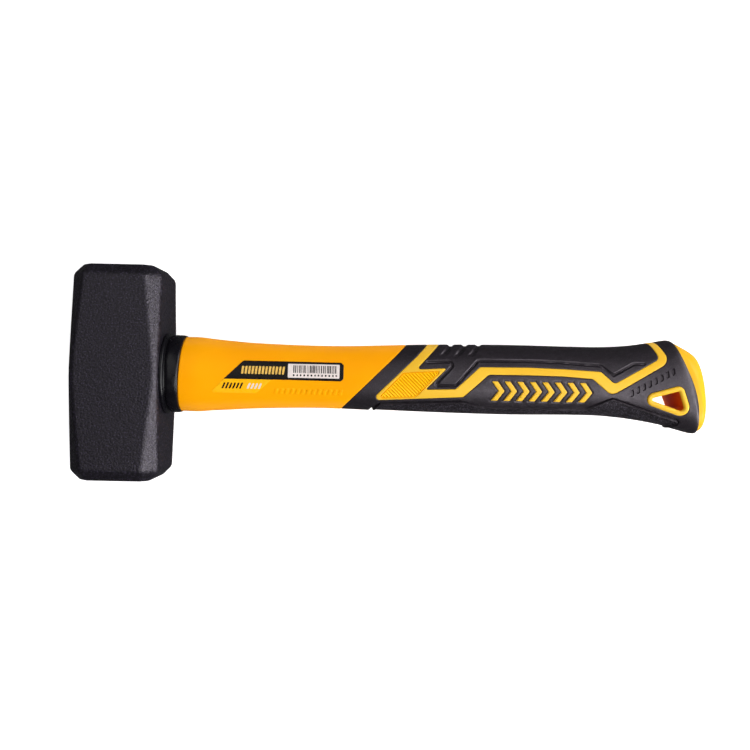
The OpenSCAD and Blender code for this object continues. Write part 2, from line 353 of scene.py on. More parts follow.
def side_height(x, y):
    """How far the handle's surface stands from the mid-plane at each x and y."""
    low, high = np.zeros(len(x)), np.full(len(x), float(LAST))
    for _ in range(30):
        middle = (low + high) / 2
        q = section(middle)
        turn = (q[:, 2] - q[:, 0]) * (y - q[:, 1]) - (q[:, 3] - q[:, 1]) * (x - q[:, 0])
        beyond = turn > 0
        low, high = np.where(beyond, middle, low), np.where(beyond, high, middle)
    q = section(low)
    half = (q[:, 0:2] - q[:, 2:4]) / 2
    off = np.column_stack([x, y]) - (q[:, 0:2] + q[:, 2:4]) / 2
    share = np.abs(np.einsum("ij,ij->i", off, half)) / np.einsum("ij,ij->i", half, half)
    return q[:, 4] * (1 - np.clip(share, 0, 0.999) ** q[:, 5]) ** (1 / q[:, 5])


def between(start, end, share):
    """The places at a share of the way from start to end, kept on the curve of the section."""
    place = start + (end - start) * share[:, None]
    near, far = np.hypot(start[:, 1], start[:, 2]), np.hypot(end[:, 1], end[:, 2])
    reach = near + (far - near) * share
    place[:, 1:] *= (reach / np.hypot(place[:, 1], place[:, 2]))[:, None]
    return place


def band(rows, sides):
    """The triangles of closed rows of points, with diagonals that turn from cell to cell."""
    grid = np.arange(rows * sides).reshape(-1, sides)
    turned = np.roll(grid, -1, axis=1)
    a, b, c, d = grid[:-1], grid[1:], turned[1:], turned[:-1]
    even = (np.add.outer(np.arange(len(a)), np.arange(sides)) % 2 == 0)[..., None]
    first = np.where(even, np.stack([a, b, c], -1), np.stack([a, b, d], -1))
    second = np.where(even, np.stack([a, c, d], -1), np.stack([b, c, d], -1))
    return np.concatenate([first.reshape(-1, 3), second.reshape(-1, 3)])


def split(tris, mids):
    """The triangles, cut up where edges have a new corner: mids has one for each edge, or -1."""
    count = (mids >= 0).sum(axis=1)
    result = [tris[count == 0]]
    for turn in range(3):
        order = [turn, (turn + 1) % 3, (turn + 2) % 3]
        t, m = tris[:, order], mids[:, order]
        one = (count == 1) & (m[:, 0] >= 0)
        result.append(np.column_stack([t[one, 0], m[one, 0], t[one, 2]]))
        result.append(np.column_stack([m[one, 0], t[one, 1], t[one, 2]]))
        two = (count == 2) & (m[:, 1] < 0)
        result.append(np.column_stack([t[two, 0], m[two, 0], m[two, 2]]))
        result.append(np.column_stack([m[two, 0], t[two, 1], t[two, 2]]))
        result.append(np.column_stack([m[two, 0], t[two, 2], m[two, 2]]))
    return np.concatenate(result)


class Patch:
    """A triangle mesh on the handle's surface, which can be cut along the level lines of fields.
    Each field is a function of points in millimetres, and its values are kept at every corner.
    A plate also closes the flat end of the butt."""

    def __init__(self, x_from, x_to, fields, plate=False, finer=1):
        fine = np.linspace(0, LAST, 4000)
        middle = section(fine)[:, [0, 2]].mean(axis=1)
        cell, sides = CELL / finer, int(SIDES * finer)
        xs = np.arange(middle[0], middle[-1] + cell / 2, cell)
        rows = np.interp(xs, middle, fine)
        rows[-1] = LAST
        rows = rows[(xs >= x_from - MARGIN) & (xs <= x_to + MARGIN)]
        angle = np.linspace(0, 2 * np.pi, sides, endpoint=False)
        ring = np.column_stack([np.cos(angle), np.sin(angle)])
        loops = [np.column_stack([np.full(sides, s), ring]) for s in rows]
        if plate:
            loops += [np.column_stack([np.full(sides, float(LAST)), ring * k]) for k in BUTT_RINGS]
        self.tris = band(len(loops), sides)
        self.places = np.concatenate(loops)
        if plate:
            hub = len(self.places)
            self.places = np.vstack([self.places, [LAST, 1e-6, 0]])
            rim = np.arange(hub - sides, hub)
            fan = np.column_stack([rim, np.full(sides, hub), np.roll(rim, -1)])
            self.tris = np.vstack([self.tris, fan])
        self.fields = fields
        points = surface(self.places)
        self.values = {name: field(points) for name, field in fields.items()}

    def cut(self, name, level=0.0, active=None):
        """Splits every triangle that the field's level line crosses, so that edges follow the line.
        Triangles with a corner that isn't active stay whole."""
        value = self.values[name] - level
        if active is not None:
            value = np.where(active(self), value, np.nan)
        size = len(value)
        ends = np.sort(self.tris[:, [0, 1, 1, 2, 2, 0]].reshape(-1, 2), axis=1)
        key, edge_of = np.unique(ends[:, 0] * size + ends[:, 1], return_inverse=True)
        a, b = key // size, key % size
        with np.errstate(invalid="ignore", divide="ignore"):
            share = value[a] / (value[a] - value[b])
            crossed = value[a] * value[b] < 0
            value[a[crossed & (share < SNAP)]] = 0
            value[b[crossed & (share > 1 - SNAP)]] = 0
            crossed = value[a] * value[b] < 0
        if not crossed.any():
            return
        new = self.crossings(name, level, value, a[crossed], b[crossed], share[crossed])
        middle = np.full(len(key), -1)
        middle[crossed] = size + np.arange(len(new))
        self.tris = split(self.tris, middle[edge_of.reshape(-1, 3)])
        self.places = np.vstack([self.places, new])
        points = surface(new)
        for other, field in self.fields.items():
            added = np.full(len(new), float(level)) if other == name else field(points)
            self.values[other] = np.concatenate([self.values[other], added])

    def crossings(self, name, level, value, a, b, share):
        """The places between corners a and b where the field is at the level, from a first guess."""
        start, end = self.places[a], self.places[b]
        low, high = np.zeros(len(a)), np.ones(len(a))
        slope = value[b] - value[a]
        for _ in range(3):
            found = self.fields[name](surface(between(start, end, share))) - level
            before = found * value[a] > 0
            low, high = np.where(before, share, low), np.where(before, high, share)
            space = 0.02 * (high - low)
            share = np.clip(share - found / slope, low + space, high - space)
        return between(start, end, share)

    def cuts(self, name, *levels):
        for level in levels:
            self.cut(name, level)

    def keep(self, name, level=0.0):
        """Cuts along a level line and keeps the side where the field is higher."""
        self.cut(name, level)
        self.tris = self.tris[self.above(name, level)]
        used, index = np.unique(self.tris, return_inverse=True)
        self.tris = index.reshape(-1, 3)
        self.places = self.places[used]
        self.values = {key: value[used] for key, value in self.values.items()}

    def above(self, name, level=0.0):
        """True for each triangle that lies where the field is higher than the level."""
        return self.values[name][self.tris].mean(axis=1) > level

    def trim(self):
        """Keeps what lies inside the field "own" and makes room for the rounding of its edge."""
        self.keep("own")
        self.cuts("own", *EDGE_CUTS)


def rise(value, low, high):
    """Goes smoothly from 0 to 1 as value goes from low to high."""
    t = np.clip((value - low) / (high - low), 0, 1)
    return t * t * (3 - 2 * t)


def bump(value, centre, half_width):
    """Goes smoothly from 0 up to 1 at the centre and down to 0 again."""
    return rise(half_width - np.abs(value - centre), 0, half_width)


def worn_edge(distance, radius=0.45, drop=0.32):
    """The fall of a surface towards its rounded edge."""
    t = np.clip(1 - distance / radius, 0, 1)
    return -drop * (1 - np.sqrt(1 - t * t))


# ---- making objects ----

def placed(name, data):
    """Makes an object of a mesh, a light or a camera and puts it in the scene."""
    thing = bpy.data.objects.new(name, data)
    bpy.context.scene.collection.objects.link(thing)
    return thing


def solid_mesh(name, points, faces, materials, slots=None):
    """A mesh from points in millimetres about the mid-plane, with every face turned outward."""
    mesh = bpy.data.meshes.new(name)
    metres = (np.asarray(points) + [0, 0, MID_Z]) / 1000
    mesh.from_pydata(metres.tolist(), [], [list(face) for face in faces])
    for item in materials:
        mesh.materials.append(item)
    if slots is not None:
        mesh.polygons.foreach_set("material_index", np.asarray(slots, dtype=np.int32))
    mesh.validate()
    repair = bmesh.new()
    repair.from_mesh(mesh)
    bmesh.ops.recalc_face_normals(repair, faces=repair.faces)
    repair.to_mesh(mesh)
    repair.free()
    return mesh


def piece(name, points, faces, materials, slots=None, node=None, slot=None):
    """Makes a visible piece in place of a CAD node, and hides that node. The slot is not used."""
    mesh = solid_mesh(name, points, faces, materials, slots)
    mesh.shade_smooth()
    mesh.set_sharp_from_angle(angle=math.radians(42))
    thing = placed(name, mesh)
    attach(thing, "root")
    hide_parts(node)
    return thing


def skin(name, patch, lift, depth, materials, slots=None, **words):
    """A closed piece: the patch raised by lift, the same patch sunk by depth, and walls between.
    Depth is in millimetres, or a function that sinks the points."""
    points = surface(patch.places)
    outer = points + outward(patch.places) * np.asarray(lift)[:, None]
    inner = depth(points) if callable(depth) else surface(patch.places, depth)
    tris = patch.tris
    edges = tris[:, [0, 1, 1, 2, 2, 0]].reshape(-1, 2)
    key = np.sort(edges, axis=1) @ [len(points), 1]
    _, first, count = np.unique(key, return_index=True, return_counts=True)
    rim = edges[first[count == 1]]
    shift = len(points)
    walls = np.column_stack([rim[:, 1], rim[:, 0], rim[:, 0] + shift, rim[:, 1] + shift])
    faces = tris.tolist() + (tris[:, ::-1] + shift).tolist() + walls.tolist()
    if slots is not None:
        slots = np.concatenate([slots, np.zeros(len(tris) + len(walls), int)])
    piece(name, np.vstack([outer, inner]), faces, materials, slots, **words)


def rings(loops, closed_ends=True, wrap=False):
    """Points and faces of a surface through equal rings of points, open, capped or wrapped round."""
    size, count = len(loops[0]), len(loops)
    faces = []
    for i in range(count if wrap else count - 1):
        n = (i + 1) % count
        for j in range(size):
            k = (j + 1) % size
            faces.append((i * size + j, n * size + j, n * size + k, i * size + k))
    if closed_ends and not wrap:
        faces.append(tuple(range(size)))
        faces.append(tuple(reversed(range((count - 1) * size, count * size))))
    return np.concatenate(loops), faces


def oval_ring(x, half_y, half_z, lean):
    """A ring of points round the handle's axis at x, leaning along x by lean for each unit of y."""
    cos, sin = np.cos(TURN), np.sin(TURN)
    y = np.sign(cos) * np.abs(cos) ** (2 / OVAL_SQUARENESS) * half_y
    z = np.sign(sin) * np.abs(sin) ** (2 / OVAL_SQUARENESS) * half_z
    return np.column_stack([x + lean * y, y, z])


def stadium_ring(x, length, width):
    """A ring of points round an oval with straight sides, its long side on the striking axis."""
    y = np.cos(TURN) * width / 2 + np.sign(np.cos(TURN)) * (length - width) / 2
    z = np.sin(TURN) * width / 2
    return np.column_stack([np.full(len(TURN), float(x)), y, z])


# ---- materials ----

def linear(r, g, b):
    """An sRGB colour given as 0 to 255, as the linear colour that Blender uses."""
    channels = [c / 255 for c in (r, g, b)]
    return [c / 12.92 if c <= 0.04045 else ((c + 0.055) / 1.055) ** 2.4 for c in channels] + [1.0]


def fill(node, values):
    """Gives the inputs of a shader node their values."""
    for key, value in values.items():
        node.inputs[key].default_value = value


class Finish:
    """A material whose colour, roughness and relief come from noise in the object's own space.
    A colour is sRGB (r, g, b) from 0 to 255, or one that mix or mottled gave."""

    def __init__(self, name, roughness, specular=0.5, coat=0.0, coat_roughness=0.1):
        self.material = bpy.data.materials.new(name)
        self.material.use_nodes = True
        self.nodes = self.material.node_tree.nodes
        self.link = self.material.node_tree.links.new
        self.shader = self.nodes["Principled BSDF"]
        fill(self.shader, {"Roughness": roughness, "Specular IOR Level": specular})
        fill(self.shader, {"Coat Weight": coat, "Coat Roughness": coat_roughness})
        self.place = self.nodes.new("ShaderNodeTexCoord").outputs["Object"]
        self.height = None

    def noise(self, scale, detail=2.0, stretch=None):
        """Smooth noise, finer as scale grows, and drawn out along an axis whose stretch is small."""
        source = self.place
        if stretch:
            mapping = self.nodes.new("ShaderNodeMapping")
            fill(mapping, {"Scale": stretch})
            self.link(source, mapping.inputs["Vector"])
            source = mapping.outputs["Vector"]
        node = self.nodes.new("ShaderNodeTexNoise")
        fill(node, {"Scale": scale, "Detail": detail})
        self.link(source, node.inputs["Vector"])
        return node.outputs["Fac"]

    def cells(self, scale):
        """Cell noise: how far each point is from the nearest of many scattered ones."""
        node = self.nodes.new("ShaderNodeTexVoronoi")
        fill(node, {"Scale": scale})
        self.link(self.place, node.inputs["Vector"])
        return node.outputs["Distance"]

    def spread(self, value, low, high, to_low=0.0, to_high=1.0):
        """Maps low to high smoothly to to_low to to_high."""
        node = self.nodes.new("ShaderNodeMapRange")
        node.interpolation_type = "SMOOTHSTEP"
        fill(node, {"From Min": low, "From Max": high, "To Min": to_low, "To Max": to_high})
        self.link(value, node.inputs["Value"])
        return node.outputs["Result"]

    def mix(self, amount, a, b):
        node = self.nodes.new("ShaderNodeMix")
        node.data_type = "RGBA"
        self.link(amount, node.inputs["Factor"])
        for key, item in (("A", a), ("B", b)):
            socket = next(s for s in node.inputs if s.name == key and s.type == "RGBA")
            if isinstance(item, tuple):
                socket.default_value = linear(*item)
            else:
                self.link(item, socket)
        return next(s for s in node.outputs if s.type == "RGBA")

    def mottled(self, scale, a, b, low=0.3, high=0.7, detail=2):
        """A colour that wanders between a and b."""
        return self.mix(self.spread(self.noise(scale, detail), low, high), a, b)

    def colour(self, value):
        self.link(value, self.shader.inputs["Base Color"])

    def tint(self, *colour):
        """Tints what the surface mirrors."""
        fill(self.shader, {"Specular Tint": (*colour, 1)})

    def rough(self, scale, smoothest, roughest, low=0.3, detail=2):
        """Lets the roughness wander between two values."""
        value = self.spread(self.noise(scale, detail), low, 0.7, smoothest, roughest)
        self.link(value, self.shader.inputs["Roughness"])

    def relief(self, value, depth, strength=1.0):
        """Adds relief of this depth in metres on top of what is already there."""
        node = self.nodes.new("ShaderNodeBump")
        fill(node, {"Strength": strength, "Distance": depth})
        self.link(value, node.inputs["Height"])
        if self.height is not None:
            self.link(self.height, node.inputs["Normal"])
        self.height = node.outputs["Normal"]
        self.link(self.height, self.shader.inputs["Normal"])


def powder_coat():
    finish = Finish("powder_coat", 0.42, specular=0.62)
    finish.tint(0.95, 0.88, 1)
    base = finish.mottled(60, (5, 4, 8), (8, 7, 12), 0.35, 0.65)
    finish.colour(finish.mottled(1500, base, (52, 47, 64), 0.5, 0.72, detail=3))
    finish.rough(700, 0.36, 0.5)
    finish.relief(finish.noise(1000, 3), 0.00045, 0.85)
    finish.relief(finish.noise(2600, 1), 0.00008, 0.7)
    return finish.material


def black_gloss():
    finish = Finish("black_gloss", 0.3, specular=0.3, coat=0.03, coat_roughness=0.15)
    finish.colour(finish.mix(finish.noise(120, 2), (7, 6, 10), (12, 11, 17)))
    finish.rough(300, 0.24, 0.38, 0.35, detail=3)
    finish.relief(finish.noise(260, 2), 0.00008, 0.25)
    return finish.material


def moulded_plastic(name, main, shade, roughness, specular):
    finish = Finish(name, roughness, specular=specular)
    finish.colour(finish.mottled(35, main, shade))
    finish.rough(500, roughness - 0.05, roughness + 0.07)
    finish.relief(finish.noise(420, 2), 0.00006, 0.25)
    finish.relief(finish.noise(3200, 1), 0.00002, 0.3)
    return finish.material


def soft_rubber(name, dark, pale, depth, roughness, specular, specks):
    """Depth is how deep its grain is in metres, and specks how strongly its pale flecks show."""
    finish = Finish(name, roughness, specular=specular)
    finish.tint(1, 0.9, 1)
    flecks = finish.spread(finish.cells(2100), 0.5, 0.75, 0.0, specks)
    finish.colour(finish.mix(flecks, finish.mottled(45, dark, pale), (96, 90, 102)))
    finish.rough(600, roughness - 0.06, roughness + 0.08)
    finish.relief(finish.noise(1300, 2), depth, 0.45)
    finish.relief(finish.noise(3500, 1), depth / 3, 0.5)
    return finish.material


def printed(name, colour, fade):
    finish = Finish(name, 0.3, specular=0.2, coat=0.06, coat_roughness=0.1)
    finish.colour(finish.mottled(900, colour, fade, 0.45, 0.8, detail=3))
    finish.rough(400, 0.24, 0.38)
    finish.relief(finish.noise(300, 1), 0.00003, 0.2)
    return finish.material


def cast_resin():
    finish = Finish("cast_resin", 0.3, coat=0.2)
    finish.colour(finish.mix(finish.noise(240, 4), (120, 96, 52), (164, 138, 84)))
    finish.relief(finish.noise(260, 2), 0.0002, 0.5)
    return finish.material


def fibreglass():
    finish = Finish("fibreglass", 0.55)
    strands = finish.noise(2400, 2, (0.03, 1, 1))
    finish.colour(finish.mix(finish.spread(strands, 0.35, 0.65), (196, 186, 148), (226, 218, 188)))
    finish.relief(strands, 0.0001, 0.6)
    return finish.material


POWDER = powder_coat()
GLOSS = black_gloss()
ORANGE = moulded_plastic("orange_plastic", (255, 168, 0), (252, 162, 0), 0.34, 0.08)
YELLOW = moulded_plastic("yellow_plastic", (238, 188, 50), (234, 182, 44), 0.4, 0.24)
CAP = moulded_plastic("butt_cap_plastic", (220, 166, 18), (214, 160, 15), 0.36, 0.12)
# Painted shade: a deeper orange for the wall deep inside the hanging hole
HOLE_SHADE = moulded_plastic("hole_painted_shade", (228, 108, 4), (220, 98, 3), 0.4, 0.15)
PANEL = moulded_plastic("panel_plastic", (255, 202, 10), (252, 196, 8), 0.42, 0.12)
# Painted shade: a darker orange for the ridge valleys of the arrow panel and the groove round it
VALLEY_SHADE = moulded_plastic("panel_painted_shade", (244, 170, 4), (238, 162, 4), 0.5, 0.1)
RUBBER = soft_rubber("black_rubber", (18, 15, 19), (23, 19, 24), 0.00005, 0.44, 0.66, 0.1)
GRAINY = soft_rubber("black_rubber_grainy", (9, 7, 10), (13, 11, 14), 0.0003, 0.52, 0.3, 0.4)
INK = printed("label_ink", (12, 10, 10), (20, 17, 16))
GOLD = printed("label_gold", (236, 190, 92), (208, 160, 72))
PAPER = printed("label_paper", (232, 220, 216), (212, 202, 198))
LABEL_YELLOW = printed("label_yellow", (255, 186, 10), (250, 178, 8))
RESIN = cast_resin()
FIBRE = fibreglass()


# ---- the head ----

CHAMFER_END = 6.2   # leg of the long chamfers at their ends
CHAMFER_MID = 1.2   # and beside the eye
CHAMFER_SOFT = 6.0  # how far from the eye the two halves of a chamfer bend into each other
CHAMFER_CUTS = [4, 8, 15]  # where that bend is cut flat, on each side of the eye
BEVEL_LEN = 4.5     # length of the bevel round each striking face
BEVEL_IN = 4.2      # and how far it cuts into the cheeks and sides
CORNER_LEAN = 1.28  # how far the bevels at its corners lean to the striking face
EYE_LEN = 30
EYE_W = 21
EYE_FLARE = [(-3, 1.6), (0, 1.1), (0.5, 0.45), (1.4, 0.0)]  # depth in it, and how much wider it is
EYE_RECESS = 1.4    # how far the core and resin stop short of the far mouth
CORE_LEN = 23
CORE_W = 15
CORE_EDGE = 0.4     # bevel of the core's ends
RESIN_LESS = 0.1    # how much smaller the resin is than the eye, and its bore than the core
HEAD_EDGE = 0.0011  # rounding of the head's edges, in metres


def slice_off(mesh, normal, point):
    """Takes away what lies beyond a plane and closes the cut."""
    everything = mesh.verts[:] + mesh.edges[:] + mesh.faces[:]
    made = bmesh.ops.bisect_plane(mesh, geom=everything, plane_co=point, plane_no=normal,
                                  clear_outer=True)
    cut = [item for item in made["geom_cut"] if isinstance(item, bmesh.types.BMEdge)]
    if cut:
        bmesh.ops.contextual_create(mesh, geom=cut)


def head_block():
    """Points and faces of the head before its edges are rounded and its eye is cut."""
    width, length, thick = HEAD
    bevel_y = length - BEVEL_LEN
    slope = (CHAMFER_END - CHAMFER_MID) / bevel_y
    stations = [-bevel_y] + [-y for y in reversed(CHAMFER_CUTS)] + [0] + CHAMFER_CUTS + [bevel_y]
    corners = [(x, z) for x in (-1, 1) for z in (-1, 1)]
    body = bmesh.new()
    bmesh.ops.create_cube(body, size=1)
    bmesh.ops.scale(body, vec=(2 * width, 2 * length, 2 * thick), verts=body.verts)
    for x, z in corners:
        for y in stations:
            bend = math.hypot(y, CHAMFER_SOFT)
            leg = CHAMFER_MID + slope * (bend - (math.hypot(bevel_y, CHAMFER_SOFT) - bevel_y))
            slice_off(body, (x, slope * y / bend, z), (x * (width - leg), y, z * thick))
    for y in (-1, 1):
        for x, z in corners:
            start = (x * (width - CHAMFER_END), y * bevel_y, z * thick)
            slice_off(body, (x, y * CORNER_LEAN, z), start)
        for z in (-1, 1):
            slice_off(body, (0, y * BEVEL_IN, z * BEVEL_LEN), (0, y * bevel_y, z * thick))
        for x in (-1, 1):
            slice_off(body, (x * BEVEL_LEN, y * BEVEL_IN, 0), (x * width, y * bevel_y, 0))
    bmesh.ops.remove_doubles(body, verts=body.verts, dist=0.01)
    points = [tuple(v.co) for v in body.verts]
    faces = [tuple(v.index for v in f.verts) for f in body.faces]
    body.free()
    return points, faces


def eye_cutter():
    """A solid of the shape of the eye, which widens towards both mouths."""
    profile = [(depth - HEAD[0], more) for depth, more in EYE_FLARE]
    profile += [(HEAD[0] - depth, more) for depth, more in reversed(EYE_FLARE)]
    points, faces = rings([stadium_ring(x, EYE_LEN + 2 * more, EYE_W + 2 * more) for x, more in profile])
    return placed("eye_cutter", solid_mesh("eye_cutter", points, faces, [POWDER]))


def modify(thing, kind, **settings):
    """Adds a modifier with these settings."""
    modifier = thing.modifiers.new(kind, kind)
    for key, value in settings.items():
        setattr(modifier, key, value)


def hammer_head():
    points, faces = head_block()
    head = piece("hammer_head", points, faces, [POWDER], node="hammer_head", slot="powder_coat")
    modify(head, "BEVEL", width=HEAD_EDGE, segments=3, limit_method="ANGLE",
           angle_limit=math.radians(12), harden_normals=False)
    cutter = eye_cutter()
    modify(head, "BOOLEAN", operation="DIFFERENCE", solver="EXACT", object=cutter)
    modify(head, "WEIGHTED_NORMAL", keep_sharp=True)
    finished = head.evaluated_get(bpy.context.evaluated_depsgraph_get())
    shaped = bpy.data.meshes.new_from_object(finished)
    head.modifiers.clear()
    head.data = shaped
    head.data.name = "hammer_head"
    bpy.data.objects.remove(cutter)


def core_rod():
    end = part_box("core_rod")[1][0] * 1000
    start = -HEAD[0] + EYE_RECESS
    profile = [(start, CORE_EDGE), (start + CORE_EDGE, 0), (end - CORE_EDGE, 0), (end, CORE_EDGE)]
    loops = [stadium_ring(x, CORE_LEN - 2 * bevel, CORE_W - 2 * bevel) for x, bevel in profile]
    points, faces = rings(loops)
    piece("core_rod", points, faces, [FIBRE], node="core_rod", slot="fibreglass")


def eye_epoxy():
    """Fills the eye round the core. Its end is a little hollow, with a rim that climbs the eye's wall."""
    start = -HEAD[0] + EYE_RECESS
    core = (CORE_LEN - RESIN_LESS, CORE_W - RESIN_LESS)
    wall = (EYE_LEN - RESIN_LESS, EYE_W - RESIN_LESS)
    profile = [
        (start + 0.1, *core), (start + 0.35, 24, 16), (start + 0.4, 26, 18), (start + 0.1, 28.4, 20),
        (start - 0.5, *wall), (HEAD[0], *wall), (HEAD[0], *core),
    ]
    points, faces = rings([stadium_ring(*row) for row in profile], wrap=True)
    piece("eye_epoxy", points, faces, [RESIN], node="eye_epoxy", slot="resin")


def collar():
    """A flange against the head, a groove, and a band that leans into the joint with the jacket."""
    edge = HEAD[0]
    end = JOINT_X + 0.1
    groove = edge + 2
    flange = [
        (0.02, 18.1, 17.1), (0.2, 18.4, 17.4), (0.7, 18.5, 17.5), (1.2, 18.4, 17.4), (1.55, 18.1, 17.0),
        (1.75, 17.5, 16.3),
    ]
    band_start = [(2.2, 17.3, 16.1), (2.6, 17.5, 16.3), (2.9, 17.75, 16.55), (4, 17.85, 16.65)]
    band_end = [(-1.2, 17.75, 16.5), (-0.5, 17.6, 16.3), (-0.15, 17.35, 16.0), (0, 17.0, 15.6)]
    bore = (13, 11.25)
    profile = [(edge + x, y, z) for x, y, z in flange + band_start]
    profile += [(end + x, y, z) for x, y, z in band_end]
    profile += [(end, *bore), (edge + 0.02, *bore)]
    loops = [oval_ring(x, y, z, JOINT_TILT * max(0, x - groove) / (end - groove)) for x, y, z in profile]
    points, faces = rings(loops, wrap=True)
    piece("collar", points, faces, [GLOSS], node="collar", slot="black_gloss")


# ---- the handle's pieces ----

def handle_jacket():
    patch = Patch(20, 135, {
        "own": lambda p: np.minimum(in_front(p), past_joint(p)),
        "dashes": raised_dashes,
    })
    patch.trim()
    patch.cuts("dashes", -0.1, 0.12)
    near = surface(patch.places)[:, 2] > 0
    lift = worn_edge(patch.values["own"])
    lift += 0.11 * rise(patch.values["dashes"], -0.1, 0.12) * near
    skin("handle_jacket", patch, lift, SKIN_T, [ORANGE], node="handle_jacket", slot="orange_plastic")


def grip_body():
    """The front band, belly and butt: a channel with a lip runs round the grained part of the belly,
    the chevrons stand in shallow hollows and the dashes are pressed in."""
    patch = Patch(90, 270, {
        "own": lambda p: -np.maximum.reduce([in_front(p), in_loop_outer(p), in_cap(p), in_hole(p)]),
        "belly": in_belly, "notch": belly_notch, "marks": chevron_row, "dashes": pressed_dashes,
        "cap": lambda p: -in_cap(p),
    }, finer=0.92)
    patch.trim()
    patch.cuts("cap", 0.8, 1.4, 2.2)
    patch.cuts("belly", -0.65, -0.4, -0.15, 0.1, 0.3, 0.5, 0.75, 1.0)
    patch.cuts("notch", 0.7, 1.4)
    patch.cuts("marks", -0.75, -0.35, -0.05)
    patch.cuts("dashes", -0.12, 0.12)
    v = patch.values
    lift = worn_edge(v["own"])
    lift += worn_edge(v["cap"], 2.2, 0.45)
    lift += 0.45 * bump(v["belly"], 0.4, 0.4) - 0.9 * bump(v["belly"], -0.15, 0.5)
    lift -= 0.35 * rise(v["belly"], 0.5, 1.0)
    lift -= 0.6 * (1 - rise(v["notch"], 0.5, 1.5))
    lift -= 0.28 * rise(v["marks"], -0.75, -0.3)
    lift -= 0.7 * rise(v["dashes"], -0.12, 0.12)
    slots = patch.above("belly", 0.75).astype(int)
    skin("grip_body", patch, lift, SKIN_T, [RUBBER, GRAINY], slots, node="grip_body", slot="black_rubber")


def grip_back_pad():
    """The pad on the back: a groove follows its edge, and three notches cross it for the fingers."""
    patch = Patch(130, 245, {"own": in_pad, "groove": groove_line, "fingers": finger_notches})
    patch.trim()
    patch.cuts("groove", 0.15, 0.45, 0.8, 1.1, 1.4)

    def on_back(patch):
        return np.abs(surface(patch.places)[:, 1] - 20) < 11
    for level in (0, 0.35, 0.8):
        patch.cut("fingers", level, active=on_back)
    points = surface(patch.places)
    v = patch.values
    lift = worn_edge(v["own"])
    lift += 0.06 * bump(v["groove"], 1.1, 0.3) - 0.85 * (1 - rise(v["groove"], 0.1, 0.85))
    fade = rise(points[:, 1], 10.2, 12) * (0.75 + 0.25 * rise(points[:, 1], 13, 16))
    shallow = 1 - 0.25 * rise(points[:, 0], 150, 165)
    lift -= 0.85 * rise(v["fingers"], 0, 0.8) * fade * shallow
    skin("grip_back_pad", patch, lift, SKIN_T, [RUBBER], node="grip_back_pad", slot="black_rubber")


def accent_loop():
    """The inlay round the pad, with a sunk panel of ridges at its front end on each side. Painted shade,
    a darker orange, fills the panel's valleys and the groove round it.
    """
    patch = Patch(110, 255, {
        "own": lambda p: np.minimum(in_loop_outer(p), -in_pad(p)),
        "panel": in_panel,
        "ridge": lambda p: p[:, 0] + p[:, 1],
    })
    patch.trim()
    patch.cuts("panel", -0.3, 0.0, 0.3, 0.6)

    def on_panel(patch):
        return patch.values["panel"] > 0.25
    first = math.ceil(109 / RIDGE_PITCH)
    last = math.floor(149 / RIDGE_PITCH)
    for quarter in range(4 * first, 4 * last + 1):
        patch.cut("ridge", quarter * RIDGE_PITCH / 4, active=on_panel)
    v = patch.values
    wave = 0.5 - 0.5 * np.cos(2 * np.pi * v["ridge"] / RIDGE_PITCH)
    lift = worn_edge(v["own"])
    lift -= 0.32 * (1 - rise(np.abs(v["panel"]), 0.0, 0.3))
    lift -= 0.4 * rise(v["panel"], 0.3, 0.6) * wave

    # The ridge valleys and the groove round the panel take the darker orange: painted shade in those
    # recesses.
    yellow, panel, painted_shade = range(3)
    in_groove = np.abs(v["panel"])[patch.tris].mean(axis=1) < 0.2
    in_valley = patch.above("panel", 0.3) & (wave[patch.tris].mean(axis=1) > 0.6)
    slots = np.where(patch.above("panel"), panel, yellow)
    slots[in_groove | in_valley] = painted_shade
    skin("accent_loop", patch, lift, SKIN_T, [YELLOW, PANEL, VALLEY_SHADE], slots, node="accent_loop",
         slot="yellow_plastic")


def end_cap():
    patch = Patch(240, 275, {"own": in_cap}, plate=True)
    patch.keep("own")
    patch.cuts("own", 0.25, 0.6, 1.2, 2.4)
    centre = np.array([256.5, -3.0, 0.0])

    def sunk(points):
        return centre + (points - centre) * 0.84
    lift = -0.6 + 0.5 * rise(patch.values["own"], 0.0, 2.4)
    skin("end_cap", patch, lift, sunk, [CAP], node="end_cap", slot="yellow_plastic")


def hang_hole_liner():
    front, back = [], []
    for inset, above in HOLE_PROFILE:
        flat = hole_outline(inset + HOLE_DRAFT * rise(-above, 0.8, 13))
        top = side_height(flat[:, 0], flat[:, 1]) + above
        front.append(np.column_stack([flat, top]))
        back.append(np.column_stack([flat, -top]))
    loops = front + back[::-1]
    points, faces = rings(loops, wrap=True)
    # The wall deep in the hole takes the deeper orange: painted shade of the hole's depths.
    wall = range(HOLE_WALL, len(loops) - 1 - HOLE_WALL)
    slots = [int(index // len(flat) in wall) for index in range(len(faces))]
    piece("hang_hole_liner", points, faces, [YELLOW, HOLE_SHADE], slots, node="hang_hole_liner",
          slot="yellow_plastic")


def side_marks(name, side):
    """The raised chevrons of one side, which is 1 for the near side and -1 for the far one."""
    patch = Patch(160, 220, {"own": chevron_row, "side": lambda p: side * p[:, 2] - 1}, finer=1.8)
    patch.keep("side")
    patch.trim()
    lift = 0.42 + worn_edge(patch.values["own"], 0.5, 0.3)
    skin(name, patch, lift, 0.9, [YELLOW], node=name, slot="yellow_plastic")


def bar_edges():
    """Where the bars of the label's panel start and end in x: dark, pale and dark again by turns."""
    rng = np.random.default_rng(7)
    edges = [BARS_X[0]]
    while edges[-1] < BARS_X[1]:
        edges.append(edges[-1] + rng.choice(BAR_STEPS))
    return edges


